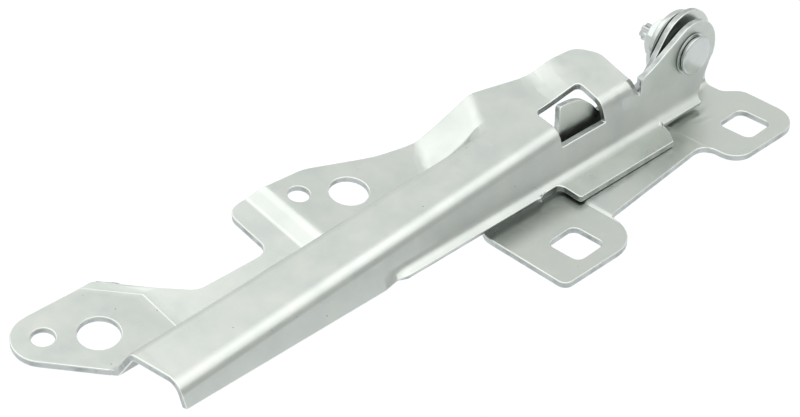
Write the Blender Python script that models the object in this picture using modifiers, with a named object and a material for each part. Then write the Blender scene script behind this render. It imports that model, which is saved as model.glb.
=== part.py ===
"""Bonnet hinge of a car, closed: a pressed steel arm for the bonnet, pivoting on a bracket for the body.

All sizes are in millimetres and become metres where a mesh is made. The origin lies on the mounting face of
the body bracket, in line with its front bolt hole. +X runs along the arm to the pivot, +Y runs across the
hinge, away from the pivot bolt's head, and +Z is up.
"""
import math

import bmesh
import bpy
from mathutils import Matrix, Vector

MM = 0.001
NAME = "bonnet_hinge"

# Sheet steel and running gaps
SHEET = 2.5
SEAT_GAP = 0.3
BORE_GAP = 0.25
ARC_STEP = math.radians(12)

# Pivot: the axis runs along Y, and the pieces are stacked along it from the head to the nut
PIVOT_X = 96.0
PIVOT_Z = 26.1
SHANK_D = 8.0
BUSH_WALL = 1.75
HEAD_D = 15.8
HEAD_T = 2.3
HEAD_BEVEL = 0.4
HEAD_WASHER_D = 16.6
HEAD_WASHER_T = 0.7
SPACER_D = 18.0
SPACER_T = 1.9
DISH_D = 28.0
DISH_EDGE_T = 2.2
DISH_DOME = 1.3
DISH_FLAT_D = 16.0
NUT_FLATS = 14.0
NUT_T = 5.6
NUT_CHAMFER = 1.3
NUT_CONE_D = 12.0
THREAD_PAST_NUT = 1.6
TIP_FLATS = 6.0
TIP_L = 4.0

# Bonnet arm: the top and the flange lean by one slope and rise from left to right
LEAN = math.tan(math.radians(9.5))
LEAN_FROM_Y = 20.0
TOP_Z = 21.56
TOP_RISE = 0.06
FRONT_PAD_Z = -0.85
NECK_END_Z = 4.4
REAR_PAD_Z = 8.26
KICK = 0.15
KICK_FROM_Y = 22.0

# Bonnet arm: stations along X where the flange changes, the half-length that each change is rounded over,
# and the skew of the creases there
NECK_START_X = -128.7
NECK_KNEE_Y = 63.0
NECK_EASE = 3.0
STEP_X = (-75.0, -69.5)
STEP_EASE = (0.8, 2.4)
RAMP_X = (-22.0, 4.0)
RAMP_EASE = (4.0, 3.0)
RAMP_SKEW = 0.58
RAMP_FAN = 17.0
KICK_X = (29.9, 47.2)
KICK_SKEW = 0.34
FAN_FROM_Y = 36.0

# Bonnet arm: cross-section
SKIRT_Y = 11.4
SKIRT_Z = 3.4
SKIRT_ANGLE = math.radians(71)
FRONT_BEND_R = 6.5
BACK_CREASE_Y = 34.0
BACK_BEND_R = 3.4
FOOT_BEND_R = 2.2
WEB_SLOPE = 1.579
TOP_ROWS_Y = (24.5, 29.0)
FLANGE_ROWS_Y = (50.0, 56.5, NECK_KNEE_Y, 71.0, 82.0)

# Bonnet arm: turned-out lip of the front wall, and the foot tab that closes onto the bracket
LIP_X = (-66.5, -57.0)
LIP_BEND_R = 5.0
LIP_TURN = math.radians(46)
LIP_EDGE = 1.2
TAB_ROOT_X = (13.0, 75.6)
TAB_CORNER_X = (17.0, 69.6)
TAB_TWIST = 7.0
TAB_EDGE_Y = 0.0
TAB_NOTCH = ((6.0, 9.0, 0.0), (10.0, 10.3, 3.0), (18.6, 10.5, 2.6), (17.9, -0.2, 1.6), (22.0, -0.2, 0.0),
             (22.0, -4.0, 0.0), (6.0, -4.0, 0.0))

# Bonnet arm: ear for the pivot
EAR_Y = 16.0
EAR_BLEND_X = (54.0, 76.0)
EAR_FOLD = 1.3
EAR_R = 14.3
EAR_CENTRE = (97.4, 24.2)
EAR_LEFT = (68.4, 25.0)
TEAR_X = 68.0
NOTCH_W = 2.2
LIP_END_X = 98.6
TOP_END_X = 66.2

# Bonnet arm: left end, lobes and holes, seen in plan
WALL_END_X = -150.4
BONNET_HOLE_D = 14.4
LOCATOR_D = 8.0
FRONT_HOLE = (-150.3, 57.9)
REAR_HOLE = (-46.4, 51.9)
LOCATOR_OFFSET = (-15.2, 9.2)
FRONT_LOBE_R = 10.6

# Bonnet arm: window over the bracket's catch
WINDOW_X = (25.0, 48.5)
WINDOW_BACK_Y = 30.0
WINDOW_LOW_Z = 16.3
WINDOW_R = 2.2

# Body bracket
WALL_Y = 21.0
WALL_X = (28.2, 114.7)
WALL_BEND_R = 3.0
STRIP_RISE = 0.6
STRIP_X = (21.4, 78.6)
STRIP_JOGGLE = 1.6
FRONT_BOLT = (0.0, -14.0)
REAR_BOLT = (102.6, -8.1)
BOLT_SQUARE = 14.4
BOLT_SQUARE_R = 3.0
BOLT_YAW = math.radians(2)
PLATE_BACK_Y = 16.5
CATCH_TOP_Z = 29.3
CATCH_END_X = 48.5
WALL_TOP_Z = 18.4
BODY_EAR_R = 15.2
BODY_EAR_CENTRE = (98.8, 25.3)

# Finishes of the bolt, head washer, bush, spacer, dished washer and nut
PIVOT_GREYS = (0.66, 0.60, 0.45, 0.55, 0.60, 0.58)
PIVOT_ROUGHNESS = (0.28, 0.3, 0.45, 0.35, 0.33, 0.35)

# Places and sizes that follow from the ones above
HEAD_WASHER_Y = EAR_Y - SEAT_GAP - HEAD_WASHER_T
HEAD_Y = HEAD_WASHER_Y - SEAT_GAP - HEAD_T
SPACER_Y = EAR_Y + SHEET + SEAT_GAP
DISH_Y = WALL_Y + SHEET + SEAT_GAP
NUT_Y = DISH_Y + DISH_EDGE_T + DISH_DOME + SEAT_GAP
BOLT_END_Y = NUT_Y + NUT_T + THREAD_PAST_NUT
BORE_D = SHANK_D + 2 * BORE_GAP
BUSH_D = BORE_D + 2 * BUSH_WALL
STRIP_TOP_Z = SHEET + STRIP_RISE
TAB_TOP_Z = STRIP_TOP_Z + SEAT_GAP + SHEET
LIP_START_Z = TAB_TOP_Z + LIP_BEND_R * (1 - math.cos(SKIRT_ANGLE))


def clear_scene():
    """Remove every object, so the script can be run again."""
    for old in list(bpy.data.objects):
        bpy.data.objects.remove(old)


def add_collection(name):
    """Return a new collection linked to the scene."""
    made = bpy.data.collections.new(name)
    bpy.context.scene.collection.children.link(made)
    return made


def add_material(name, colour, roughness):
    """Return a Principled metal."""
    made = bpy.data.materials.new(name)
    made.use_nodes = True
    shader = made.node_tree.nodes["Principled BSDF"]
    shader.inputs["Base Color"].default_value = (*colour, 1.0)
    shader.inputs["Metallic"].default_value = 1.0
    shader.inputs["Roughness"].default_value = roughness
    return made


def add_object(name, mesh, into):
    """Return a new object for a mesh, linked to a collection."""
    made = bpy.data.objects.new(name, mesh)
    into.objects.link(made)
    return made


def as_cutter(obj):
    """Hide an object from renders and draw it as wire, because it only cuts."""
    obj.hide_render = True
    obj.display_type = "WIRE"
    return obj


def apply_boolean(obj, cutter, operation):
    """Add a Boolean step: DIFFERENCE cuts a hole, INTERSECT trims to an outline and UNION joins."""
    step = obj.modifiers.new(cutter.name, "BOOLEAN")
    step.operation = operation
    step.object = as_cutter(cutter)
    step.solver = "EXACT"


def smoothstep(start, end, value):
    """Return 0 before start, 1 after end, and an S-curve between them."""
    part = min(max((value - start) / (end - start), 0.0), 1.0)
    return part * part * (3.0 - 2.0 * part)


def ramp(start, end, value):
    """Return 0 before start, 1 after end, and a straight ramp between them."""
    return min(max((value - start) / (end - start), 0.0), 1.0)


def knee(past, half):
    """Return 0 before a place and the distance past it after, rounded over a half-length on both sides."""
    if abs(past) < half:
        return (past + half) ** 2 / (4 * half)
    return max(0.0, past)


def eased_ramp(start, end, ease, value):
    """Return a straight ramp from 0 to 1 whose start and end are rounded, each over its own half-length."""
    return (knee(value - start, ease[0]) - knee(value - end, ease[1])) / (end - start)


def around(place, half):
    """Return five stations across a rounded change."""
    return [place + half * part for part in (-1.0, -0.5, 0.0, 0.5, 1.0)]


def corner_arc(corner, before, after, radius, steps):
    """Return steps + 1 points of the arc that rounds the corner between two neighbours."""
    corner = Vector(corner)
    back = (Vector(before) - corner).normalized()
    ahead = (Vector(after) - corner).normalized()
    turn = math.pi - back.angle(ahead)
    if turn < 0.01:
        reach = radius / 4
        return [corner + back * reach * (1 - 2 * i / steps) for i in range(steps + 1)]
    centre = corner + (back + ahead).normalized() * (radius / math.cos(turn / 2))
    spoke = corner + back * radius * math.tan(turn / 2) - centre
    side = -1.0 if back.cross(ahead) > 0 else 1.0
    return [centre + Matrix.Rotation(side * turn * i / steps, 2) @ spoke for i in range(steps + 1)]


def rounded(corners):
    """Turn corners (x, y, radius) into outline points, with an arc at each corner that has a radius."""
    points = []
    for i, (x, y, radius) in enumerate(corners):
        if radius == 0:
            points.append(Vector((x, y)))
            continue
        before = Vector(corners[i - 1][:2])
        after = Vector(corners[(i + 1) % len(corners)][:2])
        turn = math.pi - (before - Vector((x, y))).angle(after - Vector((x, y)))
        points += corner_arc((x, y), before, after, radius, max(2, math.ceil(turn / ARC_STEP)))
    return points


def round_arc(centre, radius, start, end):
    """Return outline corners along an arc, with the angles in degrees."""
    steps = math.ceil(abs(math.radians(end - start)) / ARC_STEP)
    angles = [math.radians(start + (end - start) * i / steps) for i in range(steps + 1)]
    return [(centre[0] + radius * math.cos(a), centre[1] + radius * math.sin(a), 0.0) for a in angles]


def prism(name, points, low, high, along, into):
    """Extrude a flat outline into a closed solid.

    along "Z" reads the points as (x, y) and extrudes in Z. along "Y" reads them as (x, z) and extrudes in Y.
    """
    data = bpy.data.curves.new(name, "CURVE")
    data.dimensions = "2D"
    data.fill_mode = "BOTH"
    data.extrude = (high - low) / 2 * MM
    spline = data.splines.new("POLY")
    spline.points.add(len(points) - 1)
    for point, (x, y) in zip(spline.points, points):
        point.co = (x * MM, y * MM, 0.0, 1.0)
    spline.use_cyclic_u = True
    outline = add_object(name + "_outline", data, into)
    middle = (low + high) / 2 * MM
    if along == "Z":
        outline.matrix_world = Matrix.Translation((0, 0, middle))
    else:
        outline.matrix_world = Matrix.Translation((0, middle, 0)) @ Matrix.Rotation(math.pi / 2, 4, "X")
    bpy.context.view_layer.update()
    evaluated = outline.evaluated_get(bpy.context.evaluated_depsgraph_get())
    mesh = bpy.data.meshes.new_from_object(evaluated)
    weld(mesh)
    made = add_object(name, mesh, into)
    made.matrix_world = outline.matrix_world.copy()
    bpy.data.objects.remove(outline)
    return made


def weld(mesh):
    """Join points that lie on each other and turn all faces outwards."""
    bm = bmesh.new()
    bm.from_mesh(mesh)
    bmesh.ops.remove_doubles(bm, verts=bm.verts, dist=0.000001)
    bmesh.ops.recalc_face_normals(bm, faces=bm.faces)
    bm.to_mesh(mesh)
    bm.free()


def sheet_surface(name, patches, into):
    """Make an open surface of quads from patches, each of them rows of points, welded where they meet."""
    bm = bmesh.new()
    for rows in patches:
        grid = [[bm.verts.new(Vector(point) * MM) for point in row] for row in rows]
        for near, far in zip(grid, grid[1:]):
            for i in range(len(near) - 1):
                bm.faces.new((near[i], far[i], far[i + 1], near[i + 1]))
    bmesh.ops.remove_doubles(bm, verts=bm.verts, dist=0.000001)
    mesh = bpy.data.meshes.new(name)
    bm.to_mesh(mesh)
    bm.free()
    made = add_object(name, mesh, into)
    step = made.modifiers.new("sheet", "SOLIDIFY")
    step.thickness = SHEET * MM
    step.offset = -1.0
    step.use_even_offset = True
    return made


def bar(name, radius, low, high, place, tilt, sides, into):
    """Make a round or many-sided bar along Z, then tilt it about X and move it to a place."""
    bm = bmesh.new()
    bmesh.ops.create_cone(bm, cap_ends=True, segments=sides, radius1=radius * MM, radius2=radius * MM,
                          depth=(high - low) * MM)
    bmesh.ops.translate(bm, verts=bm.verts, vec=(0.0, 0.0, (low + high) / 2 * MM))
    mesh = bpy.data.meshes.new(name)
    bm.to_mesh(mesh)
    bm.free()
    made = add_object(name, mesh, into)
    made.location = Vector(place) * MM
    made.rotation_euler = (tilt, 0.0, 0.0)
    return made


def turned(name, profile, sides, into):
    """Spin a profile of (radius, y) about the pivot. It runs along the outer side towards +Y."""
    solid = profile[0][0] == 0
    edges = [(i, i + 1) for i in range(len(profile) - 1)]
    if not solid:
        edges.append((len(profile) - 1, 0))
    mesh = bpy.data.meshes.new(name)
    mesh.from_pydata([(radius * MM, 0.0, -y * MM) for radius, y in profile], edges, [])
    made = add_object(name, mesh, into)
    made.location = (PIVOT_X * MM, 0.0, PIVOT_Z * MM)
    made.rotation_euler = (math.pi / 2, 0.0, 0.0)
    spin = made.modifiers.new("turn", "SCREW")
    spin.axis = "Z"
    spin.steps = sides
    spin.render_steps = sides
    spin.use_merge_vertices = True
    spin.merge_threshold = 0.00001
    return made


def ring_profile(inner, outer, low, high, bevel):
    """Return the profile of a flat ring whose outer edges are bevelled."""
    return [(inner, low), (outer - bevel, low), (outer, low + bevel), (outer, high - bevel),
            (outer - bevel, high), (inner, high)]


def top_level(x):
    """Return the height of the arm's top at the line where its lean starts. It is level past the left end."""
    return TOP_Z + TOP_RISE * max(x, WALL_END_X - 6.0)


def lean(y):
    """Return how much higher the top and the flange are at y."""
    return LEAN * (y - LEAN_FROM_Y)


def kick(s, y):
    """Return how far the arm's right end is kicked up at a station."""
    return KICK * max(0.0, y - KICK_FROM_Y) * smoothstep(*KICK_X, s)


def flange_x(s, y):
    """Return x of a station at y. Past the channel the stations follow the skewed creases of the flange."""
    fan = RAMP_SKEW * ramp(RAMP_X[0] - RAMP_FAN, RAMP_X[0], s)
    fan -= (RAMP_SKEW - KICK_SKEW) * ramp(RAMP_X[1], KICK_X[0], s)
    neck = min(ramp(NECK_START_X - 50, NECK_START_X, s), 1 - ramp(NECK_START_X, NECK_START_X + 30, s))
    return s + fan * max(0.0, y - FAN_FROM_Y) - neck * max(0.0, y - NECK_KNEE_Y)


def flange_z(s, y):
    """Return the height of the bonnet flange: front pad, neck, step, rear pad, ramp up to the top's level."""
    level = FRONT_PAD_Z
    level += (NECK_END_Z - FRONT_PAD_Z) * eased_ramp(NECK_START_X, STEP_X[0], (NECK_EASE, STEP_EASE[0]), s)
    level += (REAR_PAD_Z - NECK_END_Z) * eased_ramp(*STEP_X, STEP_EASE, s)
    level += (top_level(flange_x(s, y)) - level) * eased_ramp(*RAMP_X, RAMP_EASE, s)
    return level + lean(y) + kick(s, y)


def wall_y(x, z):
    """Return y of the front wall's outer face. Towards the ear its upper part folds upright."""
    slope = 1 / math.tan(SKIRT_ANGLE)
    fold_z = SKIRT_Z + (EAR_Y - SKIRT_Y) / slope
    return SKIRT_Y + (z - SKIRT_Z) * slope - slope * knee(z - fold_z, EAR_FOLD) * smoothstep(*EAR_BLEND_X, x)


def front_bend(x):
    """Return the section (y, z) of the bend between the front wall and the top."""
    corner = Vector((wall_y(x, TOP_Z), TOP_Z))
    for _ in range(6):
        corner.y = top_level(x) + lean(corner.x)
        corner.x = wall_y(x, corner.y)
    below = (wall_y(x, corner.y - 1.0), corner.y - 1.0)
    beyond = (corner.x + 1.0, corner.y + LEAN)
    return corner_arc(corner, below, beyond, FRONT_BEND_R, 6)


def tab_share(x):
    """Return how much of its reach the foot tab has at x: an S-curve at its left, a slant at its right."""
    return min(smoothstep(TAB_ROOT_X[0], TAB_CORNER_X[0], x), 1 - ramp(TAB_CORNER_X[1], TAB_ROOT_X[1], x))


def skirt(x, start_z):
    """Return the section (y, z) of the wall's foot, from its edge up: plain, with the lip or with the tab."""
    lip = smoothstep(*LIP_X, x)
    tab = tab_share(x)
    level = max(ramp(TAB_ROOT_X[0] - TAB_TWIST, TAB_ROOT_X[0], x) * (x < TAB_CORNER_X[1]), min(1.0, 3 * tab))
    turn = LIP_TURN * lip + (SKIRT_ANGLE - LIP_TURN) * level
    plain = (start_z - SKIRT_Z) / math.sin(SKIRT_ANGLE)
    edge = LIP_EDGE + (plain / 5 - LIP_EDGE) * (1 - lip)
    arc = (plain - edge) * (1 - lip) + LIP_BEND_R * turn * lip
    tab_reach = SKIRT_Y + (LIP_START_Z - SKIRT_Z) / math.tan(SKIRT_ANGLE) - LIP_BEND_R * math.sin(SKIRT_ANGLE)
    edge += (tab_reach - TAB_EDGE_Y - LIP_EDGE) * tab
    steps = 5
    point = Vector((wall_y(x, start_z), start_z))
    points = [point.copy()]
    for i in range(steps):
        heading = math.pi + SKIRT_ANGLE - turn * (i + 0.5) / steps
        chord = arc / steps if turn < 0.01 else arc / turn * 2 * math.sin(turn / steps / 2)
        point += Vector((math.cos(heading), math.sin(heading))) * chord
        points.append(point.copy())
    heading = math.pi + SKIRT_ANGLE - turn
    points.append(point + Vector((math.cos(heading), math.sin(heading))) * edge)
    return list(reversed(points))


def wall_section(x):
    """Return the section (y, z) of the front wall from its edge to where the front bend starts."""
    head = front_bend(x)[0]
    start_z = min(LIP_START_Z, head.y - 1.0)
    section = skirt(x, start_z)
    for part in (0.6, 0.73, 0.86, 1.0):
        z = start_z + (head.y - start_z) * part
        section.append(Vector((wall_y(x, z), z)))
    return section


def channel_station(s):
    """Return the points across the arm at a station: wall, front bend, top, back bend, web and flange."""
    points = [(s, y, z) for y, z in wall_section(s)]
    points += [(s, y, z + kick(s, y)) for y, z in front_bend(s)[1:]]
    points += [(s, y, top_level(s) + lean(y) + kick(s, y)) for y in TOP_ROWS_Y]
    top = Vector((BACK_CREASE_Y, top_level(s) + lean(BACK_CREASE_Y) + kick(s, BACK_CREASE_Y)))
    drop = top.y - flange_z(s, BACK_CREASE_Y)
    run = drop / WEB_SLOPE + 4.0 * (1 - smoothstep(0.0, 7.0, drop))
    foot = Vector((top.x + run, flange_z(s, top.x + run)))
    before = points[-1][1:]
    beyond = (foot.x + 5.0, flange_z(s, foot.x + 5.0))
    section = corner_arc(top, before, foot, BACK_BEND_R, 4)
    section += corner_arc(foot, top, beyond, FOOT_BEND_R, 3)
    points += [(flange_x(s, y), y, z) for y, z in section]
    points += [(flange_x(s, y), y, flange_z(s, y)) for y in FLANGE_ROWS_Y]
    return points


def ear_station(x):
    """Return the points up the wall and the pivot's ear at a station right of the tear."""
    tear_z = front_bend(TEAR_X)[0].y
    section = skirt(x, LIP_START_Z)
    for part in (0.6, 0.73, 0.86, 1.0):
        z = LIP_START_Z + (tear_z - LIP_START_Z) * part
        section.append(Vector((wall_y(x, z), z)))
    spread = 0.5 if x == TEAR_X else 0.0
    points = [(x, y, z) for y, z in section]
    points += [(x + spread, wall_y(x, z), z) for z in (tear_z + 3.0, 42.0)]
    return points


def arm_plan():
    """Return the arm's outline seen from above, counter-clockwise."""
    lobe = (FRONT_HOLE[0] + LOCATOR_OFFSET[0], FRONT_HOLE[1] + LOCATOR_OFFSET[1])
    corners = [
        (WALL_END_X, -20.0, 0.0), (130.0, -20.0, 0.0), (130.0, 27.0, 0.0), (TOP_END_X, 27.0, 0.0),
        (TOP_END_X, 35.5, 6.0), (60.0, 42.6, 9.0), (40.0, 44.6, 14.0), (14.0, 51.8, 30.0),
        (-27.0, 60.0, 40.0), (-52.0, 70.0, 16.0), (-68.0, 71.0, 12.0), (-76.0, 74.0, 9.0),
        (-84.3, 73.2, 5.0), (-84.6, 50.2, 4.5), (-113.7, 52.8, 8.0), (-138.2, 77.7, 4.5),
        (lobe[0] + 2.0, 77.8, 0.0),
    ]
    corners += round_arc(lobe, FRONT_LOBE_R, 88.0, 222.0)
    corners += [(-156.4, 42.6, 1.0), (-154.7, 32.4, 8.0), (-151.2, 19.0, 0.0)]
    return rounded(corners)


def arm_side():
    """Return the arm's outline seen from the front: everything left of the ear, and the ear's own shape."""
    slant = math.degrees(math.atan2(EAR_CENTRE[1] - EAR_LEFT[1], EAR_CENTRE[0] - EAR_LEFT[0]))
    reach = math.dist(EAR_CENTRE, EAR_LEFT)
    tangent = slant + 180.0 - math.degrees(math.acos(EAR_R / reach))
    notch_z = front_bend(TEAR_X)[0].y - 0.4
    corners = [(-190.0, -20.0, 0.0), (LIP_END_X, -20.0, 0.0), (LIP_END_X, TAB_TOP_Z + 0.8, 3.0),
               (108.2, 15.8, 5.0)]
    corners += round_arc(EAR_CENTRE, EAR_R, -18.0, tangent)
    corners += [
        (EAR_LEFT[0], EAR_LEFT[1], 0.8), (TOP_END_X + NOTCH_W, notch_z, 0.9), (TOP_END_X, notch_z, 0.9),
        (TOP_END_X, 60.0, 0.0), (-190.0, 60.0, 0.0),
    ]
    return rounded(corners)


def build_arm(parts, cutters):
    """Build the bonnet arm: one pressed sheet, trimmed to its outlines and pierced."""
    tab_end = [TAB_ROOT_X[0] + (TAB_CORNER_X[0] - TAB_ROOT_X[0]) * i / 3 for i in range(4)]
    plain = [-182.0, -166.0, -150.0, -139.0, -117.0, -104.0, -90.0, -81.0, -64.0, -61.7, -59.4, -46.0, -34.0,
             -12.0, -5.0, 10.0, 25.0, 33.5, 37.0, 40.5, 44.0, 53.0, 58.0, 63.0]
    stations = sorted({
        *plain, *around(NECK_START_X, NECK_EASE), *around(STEP_X[0], STEP_EASE[0]),
        *around(STEP_X[1], STEP_EASE[1]), *LIP_X, *around(RAMP_X[0], RAMP_EASE[0]),
        *around(RAMP_X[1], RAMP_EASE[1]), *tab_end, *KICK_X, TEAR_X})
    ear_stations = [TEAR_X, TAB_CORNER_X[1], 71.5, 73.5, TAB_ROOT_X[1], 85.0, LIP_END_X + 1.0, 114.0]
    patches = [[channel_station(s) for s in stations], [ear_station(x) for x in ear_stations]]
    arm = sheet_surface("bonnet_arm", patches, parts)
    apply_boolean(arm, prism("arm_plan", arm_plan(), -30.0, 80.0, "Z", cutters), "INTERSECT")
    apply_boolean(arm, prism("arm_side", arm_side(), -30.0, 100.0, "Y", cutters), "INTERSECT")
    apply_boolean(arm, prism("tab_notch", rounded(TAB_NOTCH), 0.0, 9.0, "Z", cutters), "DIFFERENCE")
    window = rounded([(WINDOW_X[0], -5.0, 0.0), (WINDOW_X[1], -5.0, 0.0),
                      (WINDOW_X[1], WINDOW_BACK_Y, WINDOW_R), (WINDOW_X[0], WINDOW_BACK_Y, WINDOW_R)])
    apply_boolean(arm, prism("arm_window", window, WINDOW_LOW_Z, 50.0, "Z", cutters), "DIFFERENCE")
    tilt = math.atan(LEAN)
    for label, hole in (("front", FRONT_HOLE), ("rear", REAR_HOLE)):
        s_hole = hole[0]
        place = (hole[0], hole[1], flange_z(s_hole, hole[1]))
        cutter = bar(label + "_bonnet_hole", BONNET_HOLE_D / 2, -8.0, 8.0, place, tilt, 40, cutters)
        apply_boolean(arm, cutter, "DIFFERENCE")
        side_hole = (hole[0] + LOCATOR_OFFSET[0], hole[1] + LOCATOR_OFFSET[1])
        place = (side_hole[0], side_hole[1], flange_z(s_hole, side_hole[1]))
        cutter = bar(label + "_locating_hole", LOCATOR_D / 2, -8.0, 8.0, place, tilt, 32, cutters)
        apply_boolean(arm, cutter, "DIFFERENCE")
    ear = (PIVOT_X, EAR_Y, PIVOT_Z)
    bore = bar("arm_bore", BUSH_D / 2 + BORE_GAP, -10.0, 10.0, ear, math.pi / 2, 40, cutters)
    apply_boolean(arm, bore, "DIFFERENCE")
    return arm


def plate_rise(x):
    """Return how far the bracket's strip is raised between its two lobes."""
    return STRIP_RISE * (ramp(STRIP_X[0] - STRIP_JOGGLE, STRIP_X[0], x)
                         - ramp(STRIP_X[1], STRIP_X[1] + STRIP_JOGGLE, x))


def bracket_station(x):
    """Return the points across the bracket at x: plate, bend and upright wall."""
    level = SHEET + plate_rise(x)
    section = [Vector((y, level)) for y in (-32.0, -14.0, 4.0)]
    section += corner_arc((WALL_Y, level), (0.0, level), (WALL_Y, 40.0), WALL_BEND_R, 5)
    section += [Vector((WALL_Y, z)) for z in (20.0, 48.0)]
    return [(x, point.x, point.y) for point in section]


def bracket_plan():
    """Return the bracket's outline seen from above, counter-clockwise."""
    wall_back = WALL_Y + SHEET + 4.0
    return rounded([
        (-20.0, -27.2, 3.4), (20.4, -27.2, 13.5), (20.6, -12.0, 1.6), (75.5, -6.7, 6.0), (80.6, -9.5, 3.0),
        (81.0, -21.6, 8.0), (120.9, -21.6, 11.5), (120.9, 6.8, 6.0), (WALL_X[1], 12.6, 4.0),
        (WALL_X[1], wall_back, 0.0), (WALL_X[0], wall_back, 0.0), (WALL_X[0], PLATE_BACK_Y, 1.5),
        (-20.0, PLATE_BACK_Y, 8.0),
    ])


def bracket_side():
    """Return the bracket's outline seen from the front: plate, catch, low wall and ear."""
    corners = [
        (-40.0, -10.0, 0.0), (140.0, -10.0, 0.0), (140.0, 8.0, 0.0), (WALL_X[1], 8.0, 2.0),
        (WALL_X[1] + 0.1, BODY_EAR_CENTRE[1] - 8.0, 4.0),
    ]
    corners += round_arc(BODY_EAR_CENTRE, BODY_EAR_R, 8.0, 145.0)
    corners += [
        (75.0, WALL_TOP_Z, 8.0), (CATCH_END_X + 1.5, WALL_TOP_Z, 2.0), (CATCH_END_X - 1.5, 22.0, 14.0),
        (39.5, CATCH_TOP_Z - 0.6, 18.0), (WALL_X[0], CATCH_TOP_Z + 0.2, 1.2), (WALL_X[0], 8.0, 0.0),
        (-40.0, 8.0, 0.0),
    ]
    return rounded(corners)


def build_bracket(parts, cutters):
    """Build the body bracket: an L-shaped pressed sheet, trimmed to its outlines and pierced."""
    stations = [-30.0, STRIP_X[0] - STRIP_JOGGLE, STRIP_X[0], 50.0, STRIP_X[1], STRIP_X[1] + STRIP_JOGGLE,
                130.0]
    bracket = sheet_surface("body_bracket", [[bracket_station(x) for x in stations]], parts)
    apply_boolean(bracket, prism("bracket_plan", bracket_plan(), -20.0, 70.0, "Z", cutters), "INTERSECT")
    apply_boolean(bracket, prism("bracket_side", bracket_side(), -60.0, 60.0, "Y", cutters), "INTERSECT")
    half = BOLT_SQUARE / 2
    square = rounded([(-half, -half, BOLT_SQUARE_R), (half, -half, BOLT_SQUARE_R),
                      (half, half, BOLT_SQUARE_R), (-half, half, BOLT_SQUARE_R)])
    for label, bolt in (("front", FRONT_BOLT), ("rear", REAR_BOLT)):
        turn = Matrix.Rotation(BOLT_YAW, 2)
        points = [turn @ point + Vector(bolt) for point in square]
        apply_boolean(bracket, prism(label + "_bolt_hole", points, -10.0, 15.0, "Z", cutters), "DIFFERENCE")
    ear = (PIVOT_X, WALL_Y, PIVOT_Z)
    bore = bar("bracket_bore", BORE_D / 2, -10.0, 10.0, ear, math.pi / 2, 32, cutters)
    apply_boolean(bracket, bore, "DIFFERENCE")
    return bracket


def build_pivot(parts, cutters):
    """Build the bolt, bush, washers and nut, in order along the pivot's axis."""
    shank, bore = SHANK_D / 2, BORE_D / 2
    head = HEAD_D / 2
    bolt = turned("pivot_bolt", [
        (0.0, HEAD_Y), (head - HEAD_BEVEL, HEAD_Y), (head, HEAD_Y + HEAD_BEVEL),
        (head, HEAD_Y + HEAD_T - 0.2), (head - 0.2, HEAD_Y + HEAD_T), (shank, HEAD_Y + HEAD_T),
        (shank, BOLT_END_Y - 0.7), (shank - 0.7, BOLT_END_Y), (0.0, BOLT_END_Y)], 48, parts)
    tip = bar("bolt_tip", TIP_FLATS / math.sqrt(3), -1.0, TIP_L, (PIVOT_X, BOLT_END_Y, PIVOT_Z),
              -math.pi / 2, 6, cutters)
    apply_boolean(bolt, tip, "UNION")
    washer = turned("head_washer", ring_profile(
        bore, HEAD_WASHER_D / 2, HEAD_WASHER_Y, HEAD_WASHER_Y + HEAD_WASHER_T, 0.15), 48, parts)
    bush = turned("pivot_bush", ring_profile(bore, BUSH_D / 2, EAR_Y, EAR_Y + SHEET, 0.2), 40, parts)
    spacer = turned("spacer_washer", ring_profile(
        bore, SPACER_D / 2, SPACER_Y, SPACER_Y + SPACER_T, 0.2), 40, parts)
    rim, flat = DISH_D / 2, DISH_FLAT_D / 2
    steps = 4
    dome = [(rim - (rim - flat) * i / steps,
             DISH_Y + DISH_EDGE_T + DISH_DOME * math.sin(math.pi / 2 * i / steps)) for i in range(steps + 1)]
    dish = turned("dished_washer", [(bore, DISH_Y), (rim - 0.4, DISH_Y), (rim, DISH_Y + 0.4)] + dome + [
        (bore, DISH_Y + DISH_EDGE_T + DISH_DOME)], 56, parts)
    nut = build_nut(parts, cutters)
    return [bolt, washer, bush, spacer, dish, nut]


def build_nut(parts, cutters):
    """Build the lock nut: a hexagon whose far end is turned down to a cone."""
    corner = NUT_FLATS / math.sqrt(3)
    nut = bar("lock_nut", corner, 0.0, NUT_T, (PIVOT_X, NUT_Y, PIVOT_Z), -math.pi / 2, 6, parts)
    near = NUT_Y - 1.0
    far = NUT_Y + NUT_T + 0.4
    envelope = turned("nut_cone", [
        (BORE_D / 2, near), (corner + 0.6, near), (corner + 0.6, far - NUT_CHAMFER * 2),
        (NUT_CONE_D / 2, far), (BORE_D / 2, far)], 48, cutters)
    apply_boolean(nut, envelope, "INTERSECT")
    return nut


def shade(obj, angle):
    """Shade an object's mesh smooth, with sharp edges kept above an angle."""
    obj.data.shade_smooth()
    obj.data.set_sharp_from_angle(angle=math.radians(angle))


def main():
    clear_scene()
    parts = add_collection(NAME)
    cutters = add_collection(NAME + "_cutters")
    axis = bpy.data.objects.new("pivot_axis", None)
    parts.objects.link(axis)
    axis.empty_display_size = 0.02
    axis.location = (PIVOT_X * MM, (EAR_Y + SHEET / 2) * MM, PIVOT_Z * MM)
    arm = build_arm(parts, cutters)
    bracket = build_bracket(parts, cutters)
    pivot = build_pivot(parts, cutters)
    bush = pivot[2]
    bpy.context.view_layer.update()
    for rider in (arm, bush):
        rider.parent = axis
        rider.matrix_parent_inverse = axis.matrix_world.inverted()
    zinc = add_material("zinc_plated_sheet", (0.62, 0.63, 0.60), 0.32)
    arm.data.materials.append(zinc)
    bracket.data.materials.append(zinc.copy())
    for piece, grey, rough in zip(pivot, PIVOT_GREYS, PIVOT_ROUGHNESS):
        piece.data.materials.append(add_material(piece.name + "_metal", (grey, grey, grey * 0.97), rough))
    for piece in [arm, bracket] + pivot:
        shade(piece, 30)


main()
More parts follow.
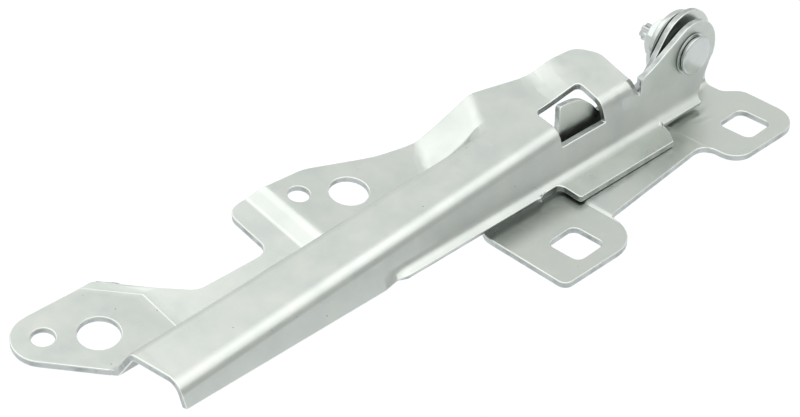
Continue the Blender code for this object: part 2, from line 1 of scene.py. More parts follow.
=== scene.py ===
"""Bonnet hinge in bright zinc plate on a white studio floor.

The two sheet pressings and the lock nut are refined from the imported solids. The pivot's bolt, washers and
bush are turned anew in the places that the solids give.
"""
import logging
import math
from dataclasses import dataclass, field
from enum import Enum

import bmesh
import bpy
from mathutils import Matrix, Vector
from mathutils.bvhtree import BVHTree


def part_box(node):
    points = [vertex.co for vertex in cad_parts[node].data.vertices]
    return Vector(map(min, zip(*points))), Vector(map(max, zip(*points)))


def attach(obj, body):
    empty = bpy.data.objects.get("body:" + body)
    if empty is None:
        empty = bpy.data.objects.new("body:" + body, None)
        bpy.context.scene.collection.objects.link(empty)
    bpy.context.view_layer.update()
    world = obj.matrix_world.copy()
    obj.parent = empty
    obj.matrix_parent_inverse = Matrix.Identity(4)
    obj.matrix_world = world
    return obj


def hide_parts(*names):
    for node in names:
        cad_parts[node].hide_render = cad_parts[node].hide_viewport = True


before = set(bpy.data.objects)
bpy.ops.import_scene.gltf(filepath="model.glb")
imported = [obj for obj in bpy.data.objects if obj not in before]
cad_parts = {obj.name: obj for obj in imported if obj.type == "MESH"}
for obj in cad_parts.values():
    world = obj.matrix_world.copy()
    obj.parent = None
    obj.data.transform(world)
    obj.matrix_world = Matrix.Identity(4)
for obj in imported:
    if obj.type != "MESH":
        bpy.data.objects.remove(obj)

LOG = logging.getLogger("bonnet_hinge")
MM = 0.001
# Points closer than this, in millimetres, are one.
WELD = 0.002
# How many bands a wave texture of scale 1 has to the metre.
WAVE_BANDS = 20.0 / math.tau
BRACKET = "bracket"
ARM = "arm"
Pair = tuple[float, float]
Triple = tuple[float, float, float]


class Side(Enum):
    """Which part of a pressed sheet a face belongs to, as its material index."""

    SKIN = 0
    CUT = 1
    RIM = 2
    UNDER = 3


class Lamp(Enum):
    """The studio's soft boxes, by where they hang."""

    OVERHEAD = "overhead"
    FRONT_RIGHT = "front_right"


def linear(colour: str) -> tuple[float, float, float, float]:
    """Turn an sRGB hex colour into linear RGBA.

    Args:
        colour: A colour such as "#CFD4CE".

    Returns:
        The linear red, green, blue and an alpha of 1.
    """
    parts = [int(colour[i:i + 2], 16) / 255 for i in (1, 3, 5)]
    return (*[p / 12.92 if p <= 0.04045 else ((p + 0.055) / 1.055) ** 2.4 for p in parts], 1.0)


def add_node(tree: bpy.types.NodeTree, kind: str, inputs: dict | None = None,
             **settings: object) -> bpy.types.Node:
    """Add a node, set its properties and fill its inputs.

    Args:
        tree: The node tree that takes it.
        kind: The node's type name.
        inputs: Values or output sockets, by input name or index.
        settings: The node's own properties.

    Returns:
        The new node.
    """
    node = tree.nodes.new(kind)
    for name, value in settings.items():
        setattr(node, name, value)
    for key, value in (inputs or {}).items():
        if isinstance(value, bpy.types.NodeSocket):
            tree.links.new(value, node.inputs[key])
        else:
            node.inputs[key].default_value = value
    return node


def per_metre(feature: float) -> float:
    """Return a texture's scale for a feature size in millimetres."""
    return 1.0 / (feature * MM)


@dataclass(frozen=True)
class ZincPlate:
    """Bright zinc plate with a clear passivation, on rolled or turned steel.

    It shows soft, wide highlights, faint cloudy patches of the passivation, a fine grain of the steel below
    the plating, drawn lines along x, and a few dark pits. The grain and the lines are drawn coarser than
    real ones, which the render would lose. Lengths and places are in millimetres. What is None is left off.
    """

    name: str
    tone: str = "#CED3CD"
    cloud_tone: str = "#C5CBC6"
    warm_tone: str = "#D2D4CC"
    pit_tone: str = "#474C49"
    roughness: Pair = (0.27, 0.36)
    # The clouds and the smaller stains: their sizes, and where in the noise they start and are full.
    cloud: float = 16.0
    cloud_span: Pair = (0.38, 0.66)
    stain: float = 7.2
    stain_span: Pair = (0.52, 0.76)
    stain_share: float = 0.5
    rough_span: Pair = (0.3, 0.7)
    grain: float = 0.9
    grain_depth: float = 0.012
    line_gap: float = 0.55
    line_length: float = 45.0
    line_depth: float = 0.006
    pit_gap: float = 8.5
    pit_radius: float = 0.28
    pit_depth: float = 0.05
    pit_share: float = 0.8
    # A crisp line across the flange: its x and the y of its knee. It fades in between two values of y.
    fold: Pair | None = None
    fold_width: float = 0.7
    fold_depth: float = 0.07
    fold_fade: Pair = (36.0, 42.0)
    # Where the plate turns duller, between two values of x, and how much roughness it gains.
    matte_x: Pair | None = None
    matte_gain: float = 0.2
    # Painted shade in the nook below the arm's lip: full at the first x and gone at the second, and growing
    # from the first y on.
    nook_shade_x: Pair | None = None
    nook_shade_y: Pair = (-4.0, 6.0)
    nook_shade_share: float = 0.62
    nook_shade_span: Pair = (0.35, 0.7)
    nook_shade_tone: str = "#454A47"
    # Short creases around a place: full up to the first distance from it and gone at the second.
    wrinkle_centre: Triple | None = None
    wrinkle_reach: Pair = (4.2, 12.0)
    wrinkle_gap: float = 3.76
    wrinkle_depth: float = 0.10

    def build(self) -> bpy.types.Material:
        """Build the node material.

        Returns:
            The material, with its nodes linked.
        """
        made = bpy.data.materials.new(self.name)
        made.use_nodes = True
        tree = made.node_tree
        shader = tree.nodes["Principled BSDF"]
        place = add_node(tree, "ShaderNodeTexCoord").outputs["Object"]
        clouds = add_node(tree, "ShaderNodeTexNoise", {
            "Vector": place, "Scale": per_metre(self.cloud), "Detail": 3.0, "Roughness": 0.55})
        stains = add_node(tree, "ShaderNodeTexNoise", {
            "Vector": place, "Scale": per_metre(self.stain), "Detail": 5.0, "Roughness": 0.6,
            "Distortion": 0.8})
        cloud_share = add_node(tree, "ShaderNodeMapRange", {
            "Value": clouds.outputs["Fac"], "From Min": self.cloud_span[0], "From Max": self.cloud_span[1]})
        stain_share = add_node(tree, "ShaderNodeMapRange", {
            "Value": stains.outputs["Fac"], "From Min": self.stain_span[0], "From Max": self.stain_span[1],
            "To Max": self.stain_share})
        clouded = add_node(tree, "ShaderNodeMix", {
            "Factor": cloud_share.outputs["Result"], "A": linear(self.tone), "B": linear(self.cloud_tone)},
            data_type="RGBA")
        stained = add_node(tree, "ShaderNodeMix", {
            "Factor": stain_share.outputs["Result"], "A": clouded.outputs[2], "B": linear(self.warm_tone)},
            data_type="RGBA")
        pits = add_node(tree, "ShaderNodeTexVoronoi", {"Vector": place, "Scale": per_metre(self.pit_gap)})
        pit_edge = self.pit_radius / self.pit_gap
        pit_share = add_node(tree, "ShaderNodeMapRange", {
            "Value": pits.outputs["Distance"], "From Min": pit_edge / 2, "From Max": pit_edge,
            "To Min": self.pit_share, "To Max": 0.0})
        pitted = add_node(tree, "ShaderNodeMix", {
            "Factor": pit_share.outputs["Result"], "A": stained.outputs[2], "B": linear(self.pit_tone)},
            data_type="RGBA")
        split = add_node(tree, "ShaderNodeSeparateXYZ", {"Vector": place})
        colour = pitted.outputs[2]
        # Painted shade in the nook below the arm's lip, where it is asked for.
        if self.nook_shade_x:
            colour = self.paint_nook_shade(tree, split, stains.outputs["Fac"], colour)
        tree.links.new(colour, shader.inputs["Base Color"])
        shader.inputs["Metallic"].default_value = 1.0
        rough = add_node(tree, "ShaderNodeMapRange", {
            "Value": stains.outputs["Fac"], "From Min": self.rough_span[0], "From Max": self.rough_span[1],
            "To Min": self.roughness[0], "To Max": self.roughness[1]}).outputs["Result"]
        if self.matte_x:
            matte = add_node(tree, "ShaderNodeMapRange", {
                "Value": split.outputs["X"], "From Min": self.matte_x[0] * MM,
                "From Max": self.matte_x[1] * MM, "To Max": self.matte_gain})
            rough = add_node(tree, "ShaderNodeMath", {0: rough, 1: matte.outputs["Result"]},
                             operation="ADD").outputs[0]
        tree.links.new(rough, shader.inputs["Roughness"])
        tree.links.new(self.relief(tree, place, pit_share.outputs["Result"]), shader.inputs["Normal"])
        return made

    def relief(self, tree: bpy.types.NodeTree, place: bpy.types.NodeSocket,
               pits: bpy.types.NodeSocket) -> bpy.types.NodeSocket:
        """Add the grain, the drawn lines, the pits and, where they are asked for, the fold and the creases.

        Args:
            tree: The material's tree.
            place: The object coordinates.
            pits: How much of a pit there is at the point.

        Returns:
            The bumped normal.
        """
        grain = add_node(tree, "ShaderNodeTexNoise", {
            "Vector": place, "Scale": per_metre(self.grain), "Detail": 2.0})
        along = add_node(tree, "ShaderNodeMapping", {
            "Vector": place, "Scale": (self.line_gap / self.line_length, 1.0, 1.0)})
        lines = add_node(tree, "ShaderNodeTexNoise", {
            "Vector": along.outputs["Vector"], "Scale": per_metre(self.line_gap), "Detail": 1.0})
        normal = None
        steps = [(grain.outputs["Fac"], self.grain_depth, False),
                 (lines.outputs["Fac"], self.line_depth, False),
                 (pits, self.pit_depth, True)]
        if self.fold:
            steps.append((self.fold_line(tree, place), self.fold_depth, False))
        if self.wrinkle_centre:
            steps.append((self.wrinkles(tree, place), self.wrinkle_depth, False))
        for height, depth, sunk in steps:
            bump = add_node(tree, "ShaderNodeBump", {"Height": height, "Distance": depth * MM}, invert=sunk)
            if normal:
                tree.links.new(normal, bump.inputs["Normal"])
            normal = bump.outputs["Normal"]
        return normal

    def fold_line(self, tree: bpy.types.NodeTree, place: bpy.types.NodeSocket) -> bpy.types.NodeSocket:
        """Add the crisp line that the press leaves where the flange's front pad ends.

        Args:
            tree: The material's tree.
            place: The object coordinates.

        Returns:
            The height, which steps up across the line. Past the knee the line slants by 45 degrees.
        """
        split = add_node(tree, "ShaderNodeSeparateXYZ", {"Vector": place})
        knee = add_node(tree, "ShaderNodeMath", {0: split.outputs["Y"], 1: self.fold[1] * MM},
                        operation="SUBTRACT")
        slant = add_node(tree, "ShaderNodeMath", {0: knee.outputs[0], 1: 0.0}, operation="MAXIMUM")
        past = add_node(tree, "ShaderNodeMath", {0: split.outputs["X"], 1: slant.outputs[0]},
                        operation="ADD")
        step = add_node(tree, "ShaderNodeMapRange", {
            "Value": past.outputs[0], "From Min": (self.fold[0] - self.fold_width / 2) * MM,
            "From Max": (self.fold[0] + self.fold_width / 2) * MM}, interpolation_type="SMOOTHSTEP")
        flange = add_node(tree, "ShaderNodeMapRange", {
            "Value": split.outputs["Y"], "From Min": self.fold_fade[0] * MM,
            "From Max": self.fold_fade[1] * MM})
        return add_node(tree, "ShaderNodeMath", {
            0: step.outputs["Result"], 1: flange.outputs["Result"]}, operation="MULTIPLY").outputs[0]

    def paint_nook_shade(self, tree: bpy.types.NodeTree, split: bpy.types.Node, patches: bpy.types.NodeSocket,
             colour: bpy.types.NodeSocket) -> bpy.types.NodeSocket:
        """Paint shade into the nook below the arm's lip, as a dark patch broken up by noise.

        Args:
            tree: The material's tree.
            split: The node that gives X, Y and Z.
            patches: The pattern that breaks up the painted shade.
            colour: The colour of the clean plate.

        Returns:
            The colour with the painted shade.
        """
        inward = add_node(tree, "ShaderNodeMapRange", {
            "Value": split.outputs["Y"], "From Min": self.nook_shade_y[0] * MM, "From Max": self.nook_shade_y[1] * MM},
            interpolation_type="SMOOTHSTEP")
        along = add_node(tree, "ShaderNodeMapRange", {
            "Value": split.outputs["X"], "From Min": self.nook_shade_x[1] * MM, "From Max": self.nook_shade_x[0] * MM,
            "To Min": 0.0, "To Max": self.nook_shade_share})
        broken = add_node(tree, "ShaderNodeMapRange", {
            "Value": patches, "From Min": self.nook_shade_span[0], "From Max": self.nook_shade_span[1], "To Min": 0.8})
        near = add_node(tree, "ShaderNodeMath", {
            0: inward.outputs["Result"], 1: along.outputs["Result"]}, operation="MULTIPLY")
        share = add_node(tree, "ShaderNodeMath", {
            0: near.outputs[0], 1: broken.outputs["Result"]}, operation="MULTIPLY")
        nook_shaded = add_node(tree, "ShaderNodeMix", {
            "Factor": share.outputs[0], "A": colour, "B": linear(self.nook_shade_tone)}, data_type="RGBA")
        return nook_shaded.outputs[2]

    def wrinkles(self, tree: bpy.types.NodeTree, place: bpy.types.NodeSocket) -> bpy.types.NodeSocket:
        """Add the short creases that coining leaves beside a tight bend.

        Args:
            tree: The material's tree.
            place: The object coordinates.

        Returns:
            The height of the creases, fading out with the distance from their centre.
        """
        centred = add_node(tree, "ShaderNodeMapping", {
            "Vector": place, "Location": tuple(-c * MM for c in self.wrinkle_centre)})
        distance = add_node(tree, "ShaderNodeVectorMath", {0: centred.outputs["Vector"]},
                            operation="LENGTH")
        fade = add_node(tree, "ShaderNodeMapRange", {
            "Value": distance.outputs["Value"], "From Min": self.wrinkle_reach[0] * MM,
            "From Max": self.wrinkle_reach[1] * MM, "To Min": 1.0, "To Max": 0.0},
            interpolation_type="SMOOTHSTEP")
        waves = add_node(tree, "ShaderNodeTexWave", {
            "Vector": centred.outputs["Vector"], "Scale": per_metre(self.wrinkle_gap) / WAVE_BANDS,
            "Distortion": 5.0, "Detail": 1.5, "Detail Scale": 0.7}, bands_direction="Y")
        return add_node(tree, "ShaderNodeMath", {
            0: waves.outputs["Fac"], 1: fade.outputs["Result"]}, operation="MULTIPLY").outputs[0]


@dataclass(frozen=True)
class PunchedEdge:
    """The cut edge of a punched sheet, plated with it.

    The punch leaves short shear lines through the sheet's thickness, so the edge is duller than the skin.
    The lines are drawn coarser than real ones, which the render would lose. Lengths are in millimetres.
    """

    name: str
    tone: str = "#BABFBD"
    dull_tone: str = "#979D9B"
    roughness: Pair = (0.30, 0.45)
    line_gap: float = 0.45
    line_depth: float = 0.04
    # The pattern's scale through the thickness, as a share of its scale across, which draws the lines out.
    line_stretch: float = 0.12
    patch_gap: float = 5.4
    # Where in the noise the dull patches start and are full, and the same for the roughness.
    patch_span: Pair = (0.42, 0.68)
    rough_span: Pair = (0.3, 0.7)

    def build(self) -> bpy.types.Material:
        """Build the node material.

        Returns:
            The material, with its nodes linked.
        """
        made = bpy.data.materials.new(self.name)
        made.use_nodes = True
        tree = made.node_tree
        shader = tree.nodes["Principled BSDF"]
        place = add_node(tree, "ShaderNodeTexCoord").outputs["Object"]
        through = add_node(tree, "ShaderNodeMapping", {
            "Vector": place, "Scale": (1.0, 1.0, self.line_stretch)})
        shear = add_node(tree, "ShaderNodeTexNoise", {
            "Vector": through.outputs["Vector"], "Scale": per_metre(self.line_gap), "Detail": 2.0})
        patches = add_node(tree, "ShaderNodeTexNoise", {
            "Vector": place, "Scale": per_metre(self.patch_gap), "Detail": 3.0})
        share = add_node(tree, "ShaderNodeMapRange", {
            "Value": patches.outputs["Fac"], "From Min": self.patch_span[0],
            "From Max": self.patch_span[1]})
        colour = add_node(tree, "ShaderNodeMix", {
            "Factor": share.outputs["Result"], "A": linear(self.tone), "B": linear(self.dull_tone)},
            data_type="RGBA")
        rough = add_node(tree, "ShaderNodeMapRange", {
            "Value": shear.outputs["Fac"], "From Min": self.rough_span[0], "From Max": self.rough_span[1],
            "To Min": self.roughness[0], "To Max": self.roughness[1]})
        bump = add_node(tree, "ShaderNodeBump", {
            "Height": shear.outputs["Fac"], "Distance": self.line_depth * MM})
        tree.links.new(colour.outputs[2], shader.inputs["Base Color"])
        tree.links.new(rough.outputs["Result"], shader.inputs["Roughness"])
        tree.links.new(bump.outputs["Normal"], shader.inputs["Normal"])
        shader.inputs["Metallic"].default_value = 1.0
        return made


def link_mesh(name: str, bm: bmesh.types.BMesh, materials: list[bpy.types.Material]) -> bpy.types.Object:
    """Turn a finished bmesh into an object at the origin, shaded smooth.

    Args:
        name: The object's name.
        bm: The bmesh, in metres, which is freed.
        materials: Its material slots in order.

    Returns:
        The new object, linked to the scene.
    """
    mesh = bpy.data.meshes.new(name)
    bm.to_mesh(mesh)
    bm.free()
    for material in materials:
        mesh.materials.append(material)
    mesh.shade_smooth()
    made = bpy.data.objects.new(name, mesh)
    bpy.context.scene.collection.objects.link(made)
    return made


def weigh_normals(piece: bpy.types.Object) -> None:
    """Let a piece's large faces lead its shading, so that its rounded edges meet them without a seam."""
    piece.modifiers.new("weighted_normals", "WEIGHTED_NORMAL").keep_sharp = True


@dataclass
class SheetPressing:
    """A pressed sheet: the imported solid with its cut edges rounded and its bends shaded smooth.

    Lengths and places are in millimetres and angles in degrees. Edges within crisp_reach of the place crisp
    stay unrounded.
    """

    node: str
    body: str
    slot: str
    skin: ZincPlate
    # The lower skin's finish, darker as painted shade for the hollows below the sheet.
    under: ZincPlate
    cut: PunchedEdge
    rim: ZincPlate
    crisp: Triple | None = None
    crisp_reach: float = 5.0
    rim_radius: float = 0.38
    sharp_angle: float = 38.0
    flat_angle: float = 0.35
    strip_width: float = 5.0
    sliver: float = 0.02

    def build(self) -> None:
        bm = bmesh.new()
        bm.from_mesh(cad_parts[self.node].data)
        bmesh.ops.remove_doubles(bm, verts=bm.verts, dist=WELD * MM)
        bmesh.ops.dissolve_degenerate(bm, edges=bm.edges, dist=self.sliver * MM)
        bmesh.ops.dissolve_limit(bm, angle_limit=math.radians(self.flat_angle), verts=bm.verts,
                                 edges=bm.edges)
        bm.normal_update()
        self.mark_sides(bm)
        shell = BVHTree.FromBMesh(bm)
        corners = [tuple(pick(v.co[axis] for v in bm.verts) for axis in range(3)) for pick in (min, max)]
        edges = [e for e in bm.edges if len(e.link_faces) == 2
                 and e.calc_face_angle(0.0) > math.radians(self.sharp_angle) and not self.is_crisp(e)]
        rolled = bmesh.ops.bevel(bm, geom=edges, offset=self.rim_radius * MM, offset_type="OFFSET",
                                 affect="EDGES", segments=3, profile=0.5, material=-1, clamp_overlap=False)
        for face in rolled["faces"]:
            face.material_index = Side.RIM.value
        self.draw_back(bm, shell, corners)
        self.cut_strips(bm)
        made = link_mesh(self.node + "_plated", bm, [
            finish.build() for finish in (self.skin, self.cut, self.rim, self.under)])
        weigh_normals(made)
        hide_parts(self.node)
        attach(made, self.body)
        LOG.info("%s: %d faces", made.name, len(made.data.polygons))

    def is_crisp(self, edge: bmesh.types.BMEdge) -> bool:
        """Tell whether an edge lies at the tear in the sheet, where the press leaves it unrounded.

        Args:
            edge: An edge of the pressing.

        Returns:
            Whether both its ends lie within reach of the tear.
        """
        if self.crisp is None:
            return False
        centre = [value * MM for value in self.crisp]
        return all(math.dist(vert.co, centre) < self.crisp_reach * MM for vert in edge.verts)

    def draw_back(self, bm: bmesh.types.BMesh, shell: BVHTree, corners: list[Triple]) -> None:
        """Bring back to the sheet what the rounding threw off it, at corners too tight for its radius.

        Args:
            bm: The bevelled mesh of the pressing.
            shell: The sheet's surface before the bevel.
            corners: The low and the high corner of the sheet's box.
        """
        for vert in bm.verts:
            spot, outward, _, _ = shell.find_nearest(vert.co)
            if (vert.co - spot).dot(outward) > self.rim_radius / 2 * MM:
                vert.co = spot
            vert.co = [min(max(value, low), high) for value, low, high in zip(vert.co, *corners)]

    def cut_strips(self, bm: bmesh.types.BMesh) -> None:
        """Part the long flat faces into strips across the sheet, so that each shades evenly.

        Args:
            bm: The bevelled mesh of the pressing.
        """
        across = [v.co.x / MM for v in bm.verts]
        place = min(across) + self.strip_width
        while place < max(across):
            bmesh.ops.bisect_plane(bm, geom=bm.verts[:] + bm.edges[:] + bm.faces[:], dist=WELD / 2 * MM,
                                   plane_co=(place * MM, 0.0, 0.0), plane_no=(1.0, 0.0, 0.0))
            place += self.strip_width

    def mark_sides(self, bm: bmesh.types.BMesh) -> None:
        """Give the upper skin, the lower skin and the ribbons of cut edge a material index each.

        The two skins are the two largest regions that no sharp edge parts.

        Args:
            bm: The merged mesh of the pressing.
        """
        limit = math.radians(self.sharp_angle)
        left = set(bm.faces)
        regions = []
        while left:
            stack = [left.pop()]
            region = list(stack)
            while stack:
                face = stack.pop()
                for edge in face.edges:
                    for other in edge.link_faces:
                        if other in left and edge.calc_face_angle(0.0) <= limit:
                            left.discard(other)
                            stack.append(other)
                            region.append(other)
            regions.append((sum(f.calc_area() for f in region), region))
        regions.sort(key=lambda pair: -pair[0])
        for rank, (_, region) in enumerate(regions):
            facing = sum(f.normal.z * f.calc_area() for f in region)
            skin = Side.SKIN if facing > 0 else Side.UNDER
            for face in region:
                face.material_index = (skin if rank < 2 else Side.CUT).value


@dataclass
class Axis:
    """The pivot's axis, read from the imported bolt."""

    x: float = field(init=False)
    z: float = field(init=False)

    def __post_init__(self) -> None:
        """Take the middle of the bolt's box in X and Z."""
        low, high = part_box("pivot_bolt")
        self.x = (low.x + high.x) / 2 / MM
        self.z = (low.z + high.z) / 2 / MM

    def span(self, node: str) -> Triple:
        """Return a node's first and last y, and its radius, in millimetres."""
        low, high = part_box(node)
        return low.y / MM, high.y / MM, (high.x - low.x) / 2 / MM

    def spin(self, profile: list[Pair], steps: int = 72, closed: bool = True) -> bmesh.types.BMesh:
        """Spin a profile about the axis.

        Args:
            profile: Points (radius, y), in millimetres.
            steps: How many steps make the full turn.
            closed: Whether the last point joins the first, as on a ring.

        Returns:
            The turned mesh, in metres, with its faces outwards.
        """
        bm = bmesh.new()
        points = [bm.verts.new(((self.x + r) * MM, y * MM, self.z * MM)) for r, y in profile]
        pairs = list(zip(points, points[1:]))
        if closed:
            pairs.append((points[-1], points[0]))
        edges = [bm.edges.new(pair) for pair in pairs]
        bmesh.ops.spin(bm, geom=points + edges, cent=(self.x * MM, 0.0, self.z * MM), axis=(0.0, 1.0, 0.0),
                       angle=math.tau, steps=steps, use_merge=True)
        bmesh.ops.remove_doubles(bm, verts=bm.verts, dist=WELD * MM)
        bmesh.ops.recalc_face_normals(bm, faces=bm.faces)
        return bm


def rounded_profile(corners: list[Triple], closed: bool = True) -> list[Pair]:
    """Round the corners of a turned profile.

    Args:
        corners: Points (radius, y, corner radius), in millimetres.
        closed: Whether the profile is a ring's. An open one keeps its two ends as they are.

    Returns:
        Points (radius, y), with a small arc at each rounded corner.
    """
    steps = 3
    made = []
    for i, (x, y, radius) in enumerate(corners):
        end = not closed and i in (0, len(corners) - 1)
        if radius == 0 or end:
            made.append((x, y))
            continue
        corner = Vector((x, y))
        back = (Vector(corners[i - 1][:2]) - corner).normalized()
        ahead = (Vector(corners[(i + 1) % len(corners)][:2]) - corner).normalized()
        turn = math.pi - back.angle(ahead)
        centre = corner + (back + ahead).normalized() * (radius / math.cos(turn / 2))
        first = corner + back * radius * math.tan(turn / 2) - centre
        sign = -1.0 if back.cross(ahead) > 0 else 1.0
        for step in range(steps + 1):
            point = centre + Matrix.Rotation(sign * turn * step / steps, 2) @ first
            made.append((point.x, point.y))
    return made


@dataclass
class PivotSet:
    """The bolt with its washers, bush, spacer and nut.

    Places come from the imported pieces. The sizes below, in millimetres and degrees, are for what the solids
    leave plain.
    """

    axis: Axis
    finish: ZincPlate
    # The spacer's finish, painted dark as shade for the gap between the ears.
    spacer_shade: ZincPlate
    brass: ZincPlate
    shank: float = 4.0
    bore: float = 4.25
    # How far the edges of the washers, the bush and the nut are eased.
    head_washer_edge: float = 0.15
    spacer_edge: float = 0.25
    bush_edge: float = 0.2
    nut_edge: float = 0.22
    # Edges of the nut flatter than the first angle are merged, and ones sharper than the second are eased.
    nut_angles: Pair = (0.5, 25.0)
    # The head: its crown's height, its rim's chamfer across and along, and the radii at the chamfer.
    head_crown: float = 0.35
    head_chamfer: Pair = (0.3, 0.35)
    head_edges: Pair = (0.25, 0.3)
    head_gap: float = 0.3
    # The dark groove below the head, and the radii at its lip and at its neck.
    groove_height: float = 1.1
    groove_slope: float = 0.15
    groove_depth: float = 0.8
    groove_edges: Pair = (0.12, 0.1)
    # The thread starts this far inside the nut, and the stud ends this far outside it.
    thread_start: float = 1.0
    thread_pitch: float = 1.0
    thread_depth: float = 0.5
    thread_edge: float = 0.05
    stud_length: float = 1.6
    stud_chamfer: Pair = (0.7, 0.55)
    stud_edge: float = 0.15
    tip_lobes: int = 6
    tip_radius: float = 3.0
    tip_lobe_height: float = 0.42
    tip_chamfer: float = 0.45
    tip_taper: float = 0.82
    tip_root: float = 0.3
    dish_rim_height: float = 2.2
    dish_rim_edge: float = 0.5
    dish_rim_land: float = 0.3
    dish_flat_radius: float = 7.5
    dish_bore_edge: float = 0.2

    def declare(self, bm: bmesh.types.BMesh, node: str, finish: ZincPlate, body: str = BRACKET,
                angle: float = 40.0) -> bpy.types.Object:
        """Make a piece from its mesh, hide the CAD node and attach the piece to its body.

        Args:
            bm: The finished mesh.
            node: The CAD node that it replaces.
            finish: Its finish.
            body: The body it rides on.
            angle: Edges sharper than this stay sharp, in degrees.

        Returns:
            The piece.
        """
        made = link_mesh(node + "_plated", bm, [finish.build()])
        made.data.set_sharp_from_angle(angle=math.radians(angle))
        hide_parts(node)
        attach(made, body)
        LOG.info("%s: %d faces", made.name, len(made.data.polygons))
        return made

    def ring(self, node: str, bore: float, edge: float) -> bmesh.types.BMesh:
        """Turn a flat ring in a node's place.

        Args:
            node: The CAD node.
            bore: The bore's radius.
            edge: The radius of its rounded edges.

        Returns:
            The ring's mesh.
        """
        low, high, radius = self.axis.span(node)
        return self.axis.spin(rounded_profile([
            (bore, low, edge / 2), (radius, low, edge), (radius, high, edge), (bore, high, edge / 2)]))

    def build(self) -> None:
        """Build every piece of the pivot."""
        self.build_bolt()
        for node, slot, edge, finish, body in (
                ("head_washer", "head_washer_steel", self.head_washer_edge, self.finish, BRACKET),
                ("spacer_washer", "spacer_steel", self.spacer_edge, self.spacer_shade, BRACKET),
                ("pivot_bush", "bush_metal", self.bush_edge, self.brass, ARM)):
            self.declare(self.ring(node, self.bore, edge), node, finish, body)
        self.build_dish()
        self.build_nut()

    def build_bolt(self) -> None:
        """Build the bolt: a crowned head with a groove below it, the shank, its thread and a lobed tip."""
        low, high, head = self.axis.span("pivot_bolt")
        seat = self.axis.span("head_washer")[0] - self.head_gap
        nut_end = self.axis.span("lock_nut")[1]
        stud_end = nut_end + self.stud_length
        neck = head - self.groove_depth
        groove = seat - self.groove_height
        root = self.shank - self.thread_depth
        inward, rise = self.head_chamfer
        lip, fillet = self.groove_edges
        # The crown falls off as the fourth power of the radius, so it is all but flat in the middle.
        profile = [(head * part, low + self.head_crown * part ** 4, 0.0) for part in (0.0, 0.35, 0.6, 0.8)]
        profile += [
            (head - inward, low + self.head_crown, self.head_edges[0]),
            (head, low + self.head_crown + rise, self.head_edges[1]),
            (head, groove, lip), (neck, groove + self.groove_slope, fillet),
            (neck, seat, fillet), (self.shank, seat, fillet),
            (self.shank, nut_end - self.thread_start, self.thread_edge)]
        # Each turn of the thread goes down to the root and back to the crest, at these shares of the pitch.
        turn = nut_end - self.thread_start
        while turn < stud_end - 0.9 * self.thread_pitch:
            for part, radius in ((0.12, self.shank), (0.45, root), (0.6, root), (0.95, self.shank)):
                profile.append((radius, turn + part * self.thread_pitch, 0.0))
            turn += self.thread_pitch
        inward, back = self.stud_chamfer
        profile += [(self.shank - 0.05, stud_end - back, 0.0),
                    (self.shank - inward, stud_end, self.stud_edge), (0.0, stud_end, 0.0)]
        bm = self.axis.spin(rounded_profile(profile, closed=False), closed=False)
        self.add_tip(bm, stud_end - self.tip_root, high)
        self.declare(bm, "pivot_bolt", self.finish, angle=50.0)

    def add_tip(self, bm: bmesh.types.BMesh, start: float, end: float) -> None:
        """Add the lobed tip that a spanner holds while the nut is turned.

        Args:
            bm: The bolt's mesh.
            start: The tip's first y.
            end: The tip's last y.
        """
        sides = self.tip_lobes * 8
        made = bmesh.ops.create_circle(bm, cap_ends=True, radius=1.0, segments=sides)
        for vert in made["verts"]:
            angle = math.atan2(vert.co.y, vert.co.x)
            radius = self.tip_radius + self.tip_lobe_height * math.cos(self.tip_lobes * angle)
            vert.co = Vector(((self.axis.x + radius * math.cos(angle)) * MM, start * MM,
                              (self.axis.z + radius * math.sin(angle)) * MM))
        face = made["verts"][0].link_faces[0]
        for push, shrink in ((end - start - self.tip_chamfer, 1.0), (self.tip_chamfer, self.tip_taper)):
            grown = bmesh.ops.extrude_face_region(bm, geom=[face])["geom"]
            bmesh.ops.delete(bm, geom=[face], context="FACES_ONLY")
            face = next(g for g in grown if isinstance(g, bmesh.types.BMFace))
            centre = Vector((self.axis.x * MM, 0.0, self.axis.z * MM))
            for vert in face.verts:
                off = vert.co - centre
                vert.co = centre + Vector((off.x * shrink, off.y + push * MM, off.z * shrink))
        bmesh.ops.recalc_face_normals(bm, faces=bm.faces)

    def build_dish(self) -> None:
        """Build the domed washer behind the body ear, with a rolled rim and a flat seat for the nut."""
        low, high, rim = self.axis.span("dished_washer")
        edge = low + self.dish_rim_height
        shoulder = rim - self.dish_rim_land
        steps = 9
        dome = [(shoulder - (shoulder - self.dish_flat_radius) * i / steps,
                 edge + (high - edge) * math.sin(math.pi / 2 * i / steps), 0.0)
                for i in range(1, steps + 1)]
        profile = [(self.bore, low, self.dish_bore_edge), (rim, low, self.dish_rim_edge),
                   (rim, edge, self.dish_rim_edge), *dome, (self.bore, high, self.dish_bore_edge)]
        dish = self.axis.spin(rounded_profile(profile), steps=96)
        self.declare(dish, "dished_washer", self.finish)

    def build_nut(self) -> None:
        """Build the lock nut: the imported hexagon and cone, with their edges eased."""
        bm = bmesh.new()
        bm.from_mesh(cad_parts["lock_nut"].data)
        bmesh.ops.remove_doubles(bm, verts=bm.verts, dist=WELD * MM)
        flat, sharp = (math.radians(angle) for angle in self.nut_angles)
        bmesh.ops.dissolve_limit(bm, angle_limit=flat, verts=bm.verts, edges=bm.edges)
        edges = [e for e in bm.edges if len(e.link_faces) == 2 and e.calc_face_angle(0.0) > sharp]
        bmesh.ops.bevel(bm, geom=edges, offset=self.nut_edge * MM, offset_type="OFFSET", affect="EDGES",
                        segments=2, profile=0.5, material=-1, clamp_overlap=True)
        weigh_normals(self.declare(bm, "lock_nut", self.finish))


